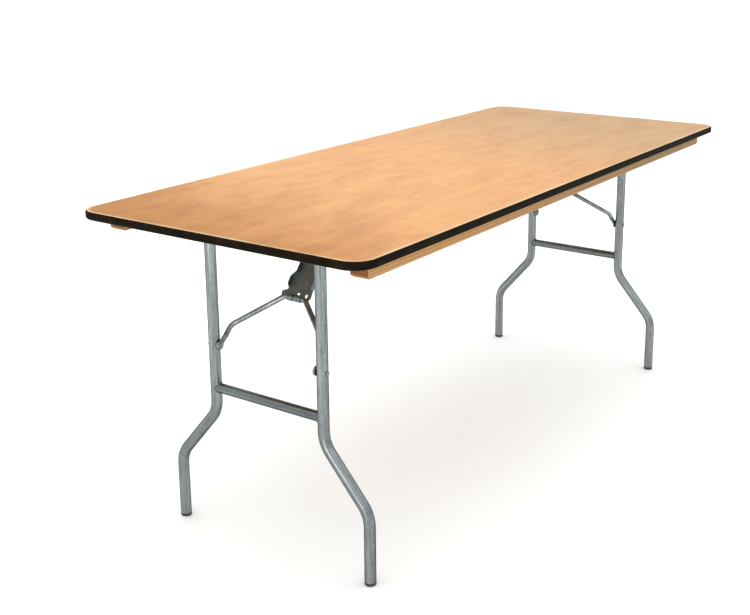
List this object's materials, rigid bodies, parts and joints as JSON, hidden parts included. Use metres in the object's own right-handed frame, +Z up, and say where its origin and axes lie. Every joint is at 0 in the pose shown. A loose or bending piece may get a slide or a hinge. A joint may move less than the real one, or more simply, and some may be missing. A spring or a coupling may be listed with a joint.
{
  "type": "folding banquet table",
  "caption": "Rectangular plywood banquet table with a black vinyl edge, on splayed steel tube leg frames that fold flat under the top on hinged rod-and-plate braces.",
  "frame": {"origin": "on the floor under the middle of the top, with the legs open", "axes": "+Z up, +X along the length of the top towards the right end, +Y towards the back long side"},
  "size_m": [1.829, 0.762, 0.762],
  "materials": {
    "top_plywood": "clear lacquered birch plywood",
    "edge_vinyl": "black vinyl moulding, satin",
    "rail_wood": "lacquered softwood rail",
    "cleat_wood": "sanded hardwood cleat",
    "leg_steel": "zinc-coated steel tube",
    "rod_steel": "zinc-coated steel rod",
    "plate_steel": "dark pressed steel, dull",
    "bracket_steel": "zinc-plated pressed steel",
    "rivet_steel": "plain steel rivet",
    "screw_zinc": "bright zinc screw",
    "foot_plastic": "moulded polyethylene glide"
  },
  "bodies": {
    "tabletop": {"tabletop_panel": "top_plywood", "edge_moulding": "edge_vinyl", "front_rail": "rail_wood", "back_rail": "rail_wood", "left_hinge_cleat": "cleat_wood", "left_brace_cleat": "cleat_wood", "left_front_hinge_bracket": "bracket_steel", "left_back_hinge_bracket": "bracket_steel", "left_brace_bracket": "bracket_steel", "left_brace_pin": "bracket_steel", "right_hinge_cleat": "cleat_wood", "right_brace_cleat": "cleat_wood", "right_front_hinge_bracket": "bracket_steel", "right_back_hinge_bracket": "bracket_steel", "right_brace_bracket": "bracket_steel", "right_brace_pin": "bracket_steel", "rail_screws": "screw_zinc", "cleat_screws": "screw_zinc", "hinge_bracket_screws": "screw_zinc", "brace_bracket_screws": "screw_zinc"},
    "left_leg_frame": {"left_front_leg": "leg_steel", "left_back_leg": "leg_steel", "left_crossbar": "leg_steel", "left_pivot_rod": "leg_steel", "left_front_foot": "foot_plastic", "left_back_foot": "foot_plastic", "left_leg_rivets": "rivet_steel"},
    "left_plate": {"left_brace_plate": "plate_steel"},
    "left_rods": {"left_front_brace_rod": "rod_steel", "left_back_brace_rod": "rod_steel", "left_rivet_tails": "rivet_steel"},
    "right_leg_frame": {"right_front_leg": "leg_steel", "right_back_leg": "leg_steel", "right_crossbar": "leg_steel", "right_pivot_rod": "leg_steel", "right_front_foot": "foot_plastic", "right_back_foot": "foot_plastic", "right_leg_rivets": "rivet_steel"},
    "right_plate": {"right_brace_plate": "plate_steel"},
    "right_rods": {"right_front_brace_rod": "rod_steel", "right_back_brace_rod": "rod_steel", "right_rivet_tails": "rivet_steel"}
  },
  "joints": [
    {"name": "left_leg_fold", "type": "hinge", "parent": "tabletop", "child": "left_leg_frame", "pos_m": [-0.7455, 0, 0.70423], "axis": [0, -1, 0], "range_deg": [0, 90]},
    {"name": "left_plate_swing", "type": "hinge", "parent": "tabletop", "child": "left_plate", "pos_m": [-0.53185, 0, 0.70423], "axis": [0, -1, 0], "range_deg": [0, 138]},
    {"name": "left_knuckle_bend", "type": "hinge", "parent": "left_plate", "child": "left_rods", "pos_m": [-0.6455, 0, 0.55923], "axis": [0, -1, 0], "range_deg": [-174, 0]},
    {"name": "right_leg_fold", "type": "hinge", "parent": "tabletop", "child": "right_leg_frame", "pos_m": [0.7455, 0, 0.70423], "axis": [0, 1, 0], "range_deg": [0, 90]},
    {"name": "right_plate_swing", "type": "hinge", "parent": "tabletop", "child": "right_plate", "pos_m": [0.53185, 0, 0.70423], "axis": [0, 1, 0], "range_deg": [0, 138]},
    {"name": "right_knuckle_bend", "type": "hinge", "parent": "right_plate", "child": "right_rods", "pos_m": [0.6455, 0, 0.55923], "axis": [0, 1, 0], "range_deg": [-174, 0]}
  ],
  "couplings": [
    {"joint": "left_plate_swing", "follows": "left_leg_fold", "ratio": 1.5208},
    {"joint": "left_knuckle_bend", "follows": "left_leg_fold", "ratio": -1.9192},
    {"joint": "right_plate_swing", "follows": "right_leg_fold", "ratio": 1.5208},
    {"joint": "right_knuckle_bend", "follows": "right_leg_fold", "ratio": -1.9192}
  ]
}
